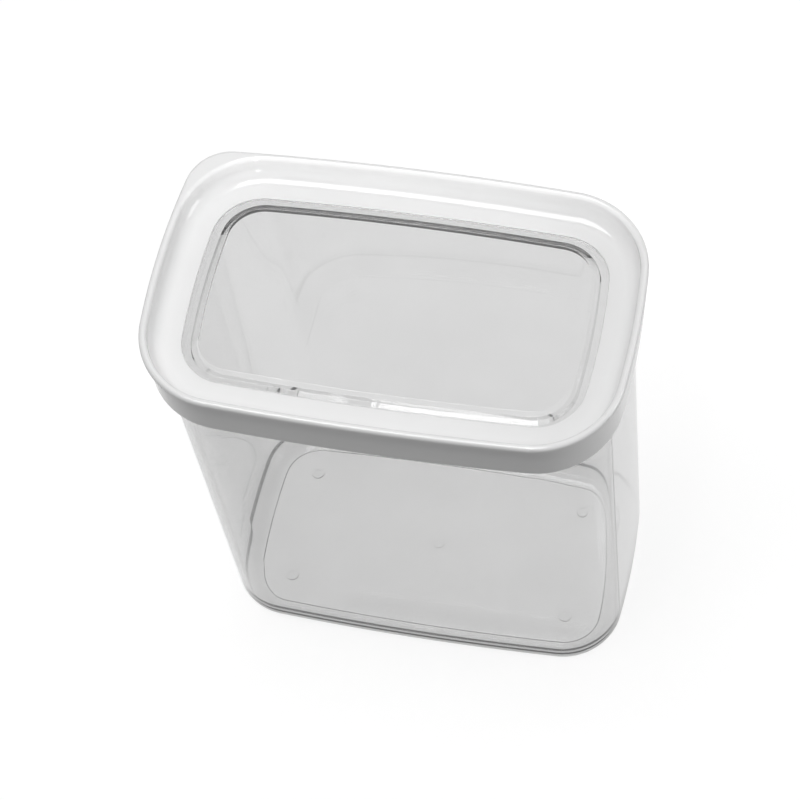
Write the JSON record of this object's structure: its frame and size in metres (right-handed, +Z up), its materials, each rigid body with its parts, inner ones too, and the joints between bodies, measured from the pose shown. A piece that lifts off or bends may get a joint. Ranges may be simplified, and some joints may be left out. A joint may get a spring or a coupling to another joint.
{
  "type": "food storage canister",
  "caption": "Upright clear rectangular canister for dry food, with a press-on white-framed lid that has a clear dished window and a lift tab.",
  "frame": {"origin": "on the ground, under the middle of the tub", "axes": "+Z up, X along the long side of the lid, +Y towards the side with the lift tab, which is at the -X end of that side"},
  "size_m": [0.15, 0.0928, 0.1676],
  "materials": {
    "clear_plastic": "clear glossy moulded styrene plastic",
    "window_plastic": "clear glossy moulded styrene plastic",
    "white_plastic": "glossy white moulded plastic"
  },
  "bodies": {
    "root": {"tub": "clear_plastic", "lid_frame": "white_plastic", "lid_window": "window_plastic"}
  },
  "joints": []
}
